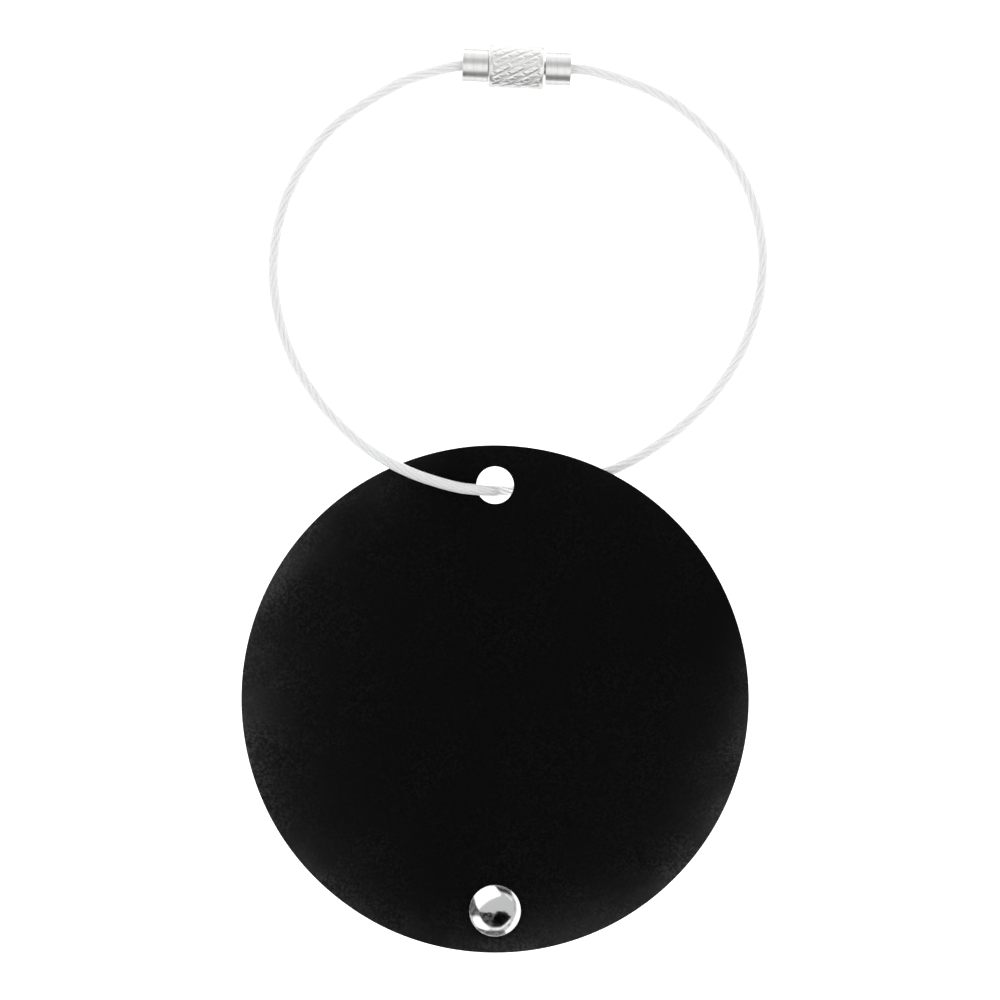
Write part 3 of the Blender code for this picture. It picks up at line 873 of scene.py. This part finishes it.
def threaded_stud(material):
    """The stud that the barrel screws onto: a right-handed thread with a chamfered tip."""
    low = LEFT_FACE - STUD_ROOT
    high = -BARREL_LENGTH / 2 + STUD_ENGAGED

    def radius_of(angle, radius, height):
        if radius < THREAD_RADIUS:
            return radius
        turn = (height / THREAD_PITCH - angle / (2 * math.pi)) % 1.0
        crest = min(1.0, max(0.0, 2.6 * abs(2 * turn - 1) - 0.9))  # 1 on the crest, 0 at the root
        run_out = min(1.0, max(0.0, (height - low - STUD_NECK) / NECK_RUN_OUT))
        out = THREAD_RADIUS - THREAD_DEPTH * (1 - crest) * run_out
        return min(out, THREAD_RADIUS - max(0.0, height - (high - STUD_CHAMFER)))

    profile = [(THREAD_RADIUS, height) for height in run(low, high, 0.045 * MM)]
    profile += [(CORE, high), (CORE, low)]
    piece = lathe("stud_thread", profile, closure_place(), material, 60, radius_of)
    return smooth(piece, 60.0)


def knurled_barrel(material):
    """Barrel with a diamond knurl: two families of slanting grooves, one cut deeper, with
    plain rounded ends."""
    inner_end = BARREL_LENGTH / 2
    low, high = -inner_end - BARREL_LIP, inner_end - PIN_SHOWING
    lean = math.tan(KNURL_ANGLE) / BARREL_RADIUS * KNURL_TEETH / (2 * math.pi)

    def groove(phase, share):
        """1 in the groove, 0 on the land; share is the groove's part of the pitch."""
        across = abs((phase % 1.0) - 0.5) * 2
        return max(0.0, 1 - across / share)

    def radius_of(angle, radius, height):
        if radius < BARREL_RADIUS - 1e-9:
            return radius
        fade = min(height - low, high - height) - KNURL_MARGIN
        fade = min(1.0, max(0.0, fade / KNURL_RUN_OUT))
        turn = KNURL_TEETH * angle / (2 * math.pi)
        main = groove(turn + lean * height, MAIN_GROOVE)
        cross = groove(turn - lean * height + 0.25, CROSS_GROOVE)
        return BARREL_RADIUS - KNURL_DEPTH * fade * max(main, CROSS_DEPTH * cross)

    edge = BARREL_EDGE
    side = [(BARREL_RADIUS, height) for height in run(low + edge, high - edge, 0.06 * MM)]
    profile = (
        [(BARREL_BORE, inner_end - POCKET_END), (BARREL_BORE, low + MOUTH_CHAMFER),
         (BARREL_BORE + MOUTH_CHAMFER, low)]
        + corner(BARREL_RADIUS - edge - 1e-8, low + edge, edge, -90, -8, 6)
        + side
        + corner(BARREL_RADIUS - edge - 1e-8, high - edge, edge, 8, 90, 6)
        + [(PIN_HOLE, high), (PIN_HOLE, inner_end - END_WALL),
           (HEAD_POCKET, inner_end - END_WALL), (HEAD_POCKET, inner_end - POCKET_END)]
    )
    piece = lathe("barrel_knurled", profile, closure_place(), material, 300, radius_of)
    return smooth(piece, 60.0)


# Studio ------------------------------------------------------------------------------------
#
# The polished rivet and closure are mostly what they mirror, so the studio is laid out by the
# slope (dz/dx, dz/dy, both with the sign turned) of the surface that mirrors each thing
# straight up. A slope of 1 looks out level.

WORLD_LIGHT = 1.15
WORLD_GREY = 0.57  # what polished surfaces see of it
SOFTBOX = 1.25
FLOOR_DROP = 45 * MM  # the loop swings down past the tag's back, and stays above the floor
JUST_ABOVE = 0.1 * MM  # height of the lowest cards, over the level that the tag rests on
RIVET_TOP = Vector((RIVET.x, RIVET.y, FRONT_CAP_HIGH.z))


def emission(name, strength, darkest=None, grain=0.05):
    """An even light, or one mottled between darkest and strength."""
    made = bpy.data.materials.new(name)
    made.use_nodes = True
    tree = made.node_tree
    tree.nodes.clear()
    light = node(tree, "ShaderNodeEmission", {"Color": (1, 1, 1, 1), "Strength": strength})
    if darkest is not None:
        mottle = noise_of(tree, place_of(tree), grain, 2.0)
        tree.links.new(ramp(tree, mottle, 0.42, 0.62, darkest, strength), light.inputs["Strength"])
    node(tree, "ShaderNodeOutputMaterial", {"Surface": light.outputs[0]})
    return made


def mirrored(u, v):
    """Where a surface of slope (u, v) looks, seen from straight above."""
    return Vector((2 * u, 2 * v, 1 - u * u - v * v)) / (1 + u * u + v * v)


def card(name, corners, strength, lights=False, faces=None, **mottled):
    """A card that only reflections see, and the rest of the light too if it lights."""
    faces = faces or [tuple(range(len(corners)))]
    made = add_mesh(name, corners, faces, emission(name, strength, **mottled))
    made.visible_camera = False
    made.visible_transmission = lights
    made.visible_diffuse = lights
    made.visible_shadow = False


def far_card(name, slopes, strength, **settings):
    card(name, [mirrored(u, v) * 1.4 for u, v in slopes], strength, **settings)


def near_card(name, seen_from, height, slopes, strength, **settings):
    """A card a little above the tag, placed for one piece only; the others see it elsewhere."""
    corners = []
    for u, v in slopes:
        way = mirrored(u, v)
        corners.append(seen_from + way * ((height - seen_from.z) / way.z))
    card(name, corners, strength, **settings)


def make_floor():
    """Plain pale floor. Its own weak light keeps it white."""
    made, tree, shader = finish("studio_floor", (0.86, 0.86, 0.86), 0.9, Specular_IOR_Level=0.1,
                                Emission_Color=(1, 1, 1, 1), Emission_Strength=0.85)
    half, low = 3.0, -FLOOR_DROP
    corners = [(-half, -half, low), (half, -half, low), (half, half, low), (-half, half, low)]
    add_mesh("studio_floor", corners, [(0, 1, 2, 3)], made)


def make_softboxes():
    far_card("softbox_upper_left", [
        (-0.50, 0.00), (-0.35, 0.14), (-0.15, 0.28), (0.04, 0.38), (0.15, 0.41), (0.19, 0.49),
        (0.05, 0.72), (-0.11, 0.97), (-0.82, 0.56), (-0.72, 0.34), (-0.62, 0.16)], SOFTBOX, lights=True)
    far_card("softbox_lower_left", [
        (-0.61, -0.21), (-0.45, -0.23), (-0.39, -0.34), (-0.33, -0.41), (-0.14, -0.56),
        (-0.15, -0.62), (-0.31, -0.70), (-0.43, -0.78), (-0.66, -0.62), (-0.79, -0.42),
        (-0.79, -0.31)], SOFTBOX, lights=True)
    far_card("window_right", [
        (0.62, 0.69), (0.68, 0.43), (0.74, 0.16), (0.73, -0.07), (0.62, -0.29), (0.53, -0.49),
        (0.33, -0.73), (0.41, -0.91), (0.73, -0.68), (0.90, -0.42), (0.995, -0.08),
        (0.98, 0.19), (0.84, 0.54), (0.67, 0.74)], SOFTBOX, lights=True)
    far_card("light_strip", [(0.29, 0.50), (0.36, 0.53), (0.59, 0.33), (0.54, 0.27)], 0.92)
    far_card("light_arc", [
        (-0.11, -0.62), (0.11, -0.64), (0.28, -0.57), (0.42, -0.43), (0.50, -0.33),
        (0.45, -0.31), (0.37, -0.39), (0.25, -0.505), (0.11, -0.56), (-0.11, -0.565)], 1.05)


def make_dark_flags():
    far_card("flag_upper_right", [
        (-0.05, 0.96), (0.13, 0.82), (0.312, 0.75), (0.442, 0.71), (0.565, 0.66), (0.61, 0.45),
        (0.50, 0.50), (0.397, 0.536), (0.25, 0.58), (0.14, 0.62), (0.05, 0.76)], 0.05, darkest=0.0)
    far_card("flag_rim_upper_right", [
        (-0.05, 0.965), (0.13, 0.825), (0.312, 0.755), (0.442, 0.715), (0.565, 0.665), (0.64, 0.70),
        (0.66, 0.75), (0.50, 0.865), (0.26, 0.965), (-0.04, 0.999)], 0.24)
    far_card("flag_left", [
        (-0.72, 0.33), (-0.62, 0.15), (-0.53, 0.02), (-0.49, -0.04), (-0.42, -0.10), (-0.47, -0.17),
        (-0.62, -0.16), (-0.82, -0.24), (-0.97, -0.20), (-0.995, 0.05), (-0.93, 0.30),
        (-0.84, 0.45)], 0.20, darkest=0.04, grain=0.25)
    far_card("flag_right", [
        (0.58, 0.36), (0.64, 0.37), (0.71, 0.16), (0.66, -0.05), (0.60, -0.05), (0.655, 0.15)], 0.34)
    far_card("flag_low_right", [(0.40, -0.47), (0.47, -0.44), (0.50, -0.52), (0.42, -0.56)], 0.15)
    far_card("flag_low", [
        (-0.33, -0.68), (-0.15, -0.69), (0.0, -0.68), (0.15, -0.68), (0.28, -0.66),
        (0.32, -0.74), (0.38, -0.91), (0.0, -0.999), (-0.45, -0.88), (-0.75, -0.66),
        (-0.66, -0.64)], 0.26, darkest=0.07, grain=0.25)


def make_near_cards():
    above = 60 * MM
    near_card("black_flag_rivet", RIVET_TOP, above, [
        (0.00, -0.10), (0.03, -0.05), (0.08, -0.01), (0.15, -0.03), (0.25, -0.03), (0.35, -0.06),
        (0.40, -0.13), (0.52, -0.20), (0.41, -0.34), (0.29, -0.46), (0.17, -0.525),
        (0.04, -0.54), (-0.08, -0.53), (-0.02, -0.42), (-0.09, -0.32), (-0.04, -0.20)], 0.001)
    near_card("grey_flag_rivet", RIVET_TOP, above, [
        (0.00, -0.10), (-0.04, -0.20), (-0.09, -0.32), (-0.02, -0.42), (-0.08, -0.53), (-0.20, -0.49),
        (-0.34, -0.39), (-0.40, -0.31), (-0.48, -0.13), (-0.48, -0.05), (-0.25, -0.07),
        (-0.15, -0.05)], 0.13, darkest=0.0, grain=0.009)
    around = [math.radians(angle) for angle in range(150, 346, 15)]
    rows = [(7 * MM, JUST_ABOVE), (45 * MM, JUST_ABOVE), (45 * MM, 4 * MM)]  # level, then up
    corners = [(RIVET.x + math.cos(angle) * out, RIVET.y + math.sin(angle) * out, height)
               for out, height in rows for angle in around]
    count = len(around)
    card("rim_flag_rivet", corners, 0.19,
         faces=[(start + n, start + n + 1, start + count + n + 1, start + count + n)
                for start in (0, count) for n in range(count - 1)])


def make_closure_tent():
    """Strips round the closure, each between two slopes of a ferrule's side, and a card under
    it. They're small and close, so only the closure mirrors them."""
    reach, half_width, steps = 14 * MM, 24 * MM, 6

    def height_and_back(v):
        tilt = math.atan(v)
        angle = 2 * tilt - math.asin(FERRULE_RADIUS / reach * math.sin(tilt))
        return CLOSURE.z + reach * math.cos(angle), CLOSURE.y + reach * math.sin(angle)

    for name, start, end, strength in (
        ("tent_pale_back", 0.44, 1.10, 0.90),
        ("tent_grey_back", 0.06, 0.44, 0.45),
        ("tent_white_top", -0.42, 0.06, 1.05),
        ("tent_dark_front", -1.14, -0.42, 0.09),
    ):
        corners = []
        for n in range(steps + 1):
            z, y = height_and_back(start + (end - start) * n / steps)
            corners.append((CLOSURE.x - half_width, y, max(z, JUST_ABOVE)))
        corners += [(CLOSURE.x + half_width, y, z) for x, y, z in corners[::-1]]
        faces = [(n, n + 1, 2 * steps - n, 2 * steps + 1 - n) for n in range(steps)]
        card(name, corners, strength, faces=faces)
    card("tent_floor", [(CLOSURE.x + x * half_width, CLOSURE.y + y * reach, JUST_ABOVE)
                        for x, y in ((-1, -1), (1, -1), (1, 1), (-1, 1))], 0.88)


def make_studio():
    """The floor, a world that polished surfaces see darker than the rest does, and the cards."""
    make_floor()
    world = bpy.data.worlds.new("studio")
    scene.world = world
    world.use_nodes = True
    tree = world.node_tree
    background = tree.nodes["Background"]
    background.inputs["Color"].default_value = (1, 1, 1, 1)
    ray = node(tree, "ShaderNodeLightPath").outputs
    through = maths(tree, "SUBTRACT", 1.0, ray["Is Transmission Ray"])
    mirroring = maths(tree, "MULTIPLY", ray["Is Glossy Ray"], through)
    tree.links.new(ramp(tree, mirroring, 0.0, 1.0, WORLD_LIGHT, WORLD_GREY),
                   background.inputs["Strength"])
    make_softboxes()
    make_dark_flags()
    make_near_cards()
    make_closure_tent()
    scene.view_settings.view_transform = "Standard"


# Assembly ----------------------------------------------------------------------------------

make_camera()

line = cable_line()
coating, cable_path = make_coating(line, clear_coating())
rope = make_rope(line, rope_steel())
for piece in (coating, rope):
    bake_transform(piece)
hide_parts("cable_front_half", "cable_eye", "cable_back_half")

grain, flesh, edge = black_leather(), flesh_side(), cut_edge()
cover = leather_disc("cover_leather", COVER_LOW.z, COVER_HIGH.z, 1, grain, flesh, edge, 2.0)
back = leather_disc("back_leather", BACK_LOW.z, BACK_HIGH.z, -1, grain, flesh, edge, 9.0)
for piece, node_name, body in ((cover, "front_cover", "cover"), (back, "back_panel", "tag")):
    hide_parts(node_name)
    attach(piece, body)

chrome = polished_chrome()
for name, node_name, low, high, face_up in (
    ("cap_dome", "rivet_cap", FRONT_CAP_LOW, FRONT_CAP_HIGH, True),
    ("back_cap_dome", "rivet_back_cap", BACK_CAP_LOW, BACK_CAP_HIGH, False),
):
    cap = rivet_cap(name, low, high, face_up, chrome)
    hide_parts(node_name)
    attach(cap, "tag")

bright = turned_steel("turned_steel", (0.90, 0.90, 0.89), 0.33)
left = ferrule("left_ferrule", LEFT_FACE - FERRULE_LENGTH, LEFT_FACE, True, bright)
right = ferrule("right_ferrule", BARREL_LENGTH / 2 + SOCKET_GAP, BARREL_LENGTH / 2 + FERRULE_LENGTH,
                False, bright)
# The thread's steel is paler than the ferrules', painted light against the shade in the gap by the
# barrel
thread = threaded_stud(turned_steel("thread_steel", (0.95, 0.95, 0.94), 0.50))
barrel = knurled_barrel(knurled_steel())
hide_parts("stud_ferrule")
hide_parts("socket_ferrule")
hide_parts("knurled_barrel")
for piece, slot_name, body in (
    (left, "turned_steel", "free_end"),
    (thread, "turned_steel", "free_end"),
    (right, "turned_steel", "loop"),
    (barrel, "knurled_steel", "barrel"),
):
    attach(piece, body)

steel = drawn_steel()
for node_name, material in (
    ("rivet_socket", steel),
    ("rivet_post", steel),
    ("swivel_pin", steel),
    ("address_card", card_stock()),
):
    materials = frame["nodes"][node_name].data.materials
    materials.clear()
    materials.append(material)

make_studio()
